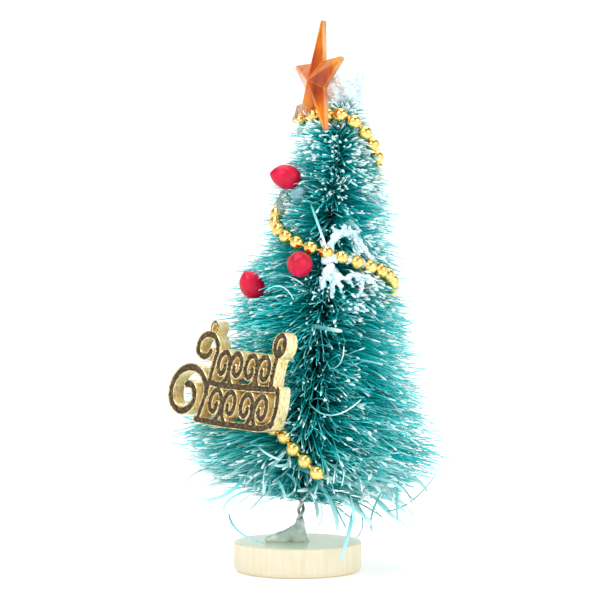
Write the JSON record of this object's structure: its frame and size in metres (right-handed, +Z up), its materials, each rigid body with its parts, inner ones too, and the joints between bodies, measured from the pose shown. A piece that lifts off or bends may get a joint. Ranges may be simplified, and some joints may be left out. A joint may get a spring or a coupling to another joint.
{
  "type": "artificial tabletop tree",
  "caption": "Miniature bottle-brush tree on a twisted wire trunk in a round wooden base, dressed with a star, a bead garland, berries, a scroll plaque and snow flock.",
  "frame": {"origin": "centre of the wooden base's underside", "axes": "+Z up, -Y towards the front that shows the plaque on the left; the trunk leans towards +X"},
  "size_m": [0.067, 0.0619, 0.1501],
  "materials": {
    "base_wood": "sanded pale wood, cream sides, glossy grey-green top",
    "trunk_wire": "bright galvanised wire",
    "bristles": "fine teal plastic bristles, frosted at the tips",
    "snow_flock": "matt white flock set in clear glue",
    "star_amber": "faceted translucent amber plastic",
    "glue_clear": "clear hot-melt glue",
    "glue_blue": "hot-melt glue tinted by the bristles",
    "bead_gold": "plastic beads with a bright gold plating",
    "berry_pearl": "pink-red pearl lacquer over foam",
    "stem_wire": "dark paper-covered wire",
    "plaque_gold": "pale gold plating with dark recessed strokes"
  },
  "bodies": {
    "root": {"wood_base": "base_wood", "base_glue": "glue_clear", "trunk_strand_a": "trunk_wire", "trunk_strand_b": "trunk_wire", "bristle_brush": "bristles", "snow_cap": "snow_flock", "flock_upper": "snow_flock", "flock_lower": "snow_flock", "star_topper": "star_amber", "star_glue": "glue_clear", "bead_garland": "bead_gold", "garland_glue": "glue_clear", "berry_upper": "berry_pearl", "berry_middle": "berry_pearl", "berry_lower": "berry_pearl", "berry_stem_upper": "stem_wire", "berry_stem_middle": "stem_wire", "berry_stem_lower": "stem_wire", "berry_glue": "glue_blue", "scroll_plaque": "plaque_gold", "plaque_glue": "glue_blue"}
  },
  "joints": []
}
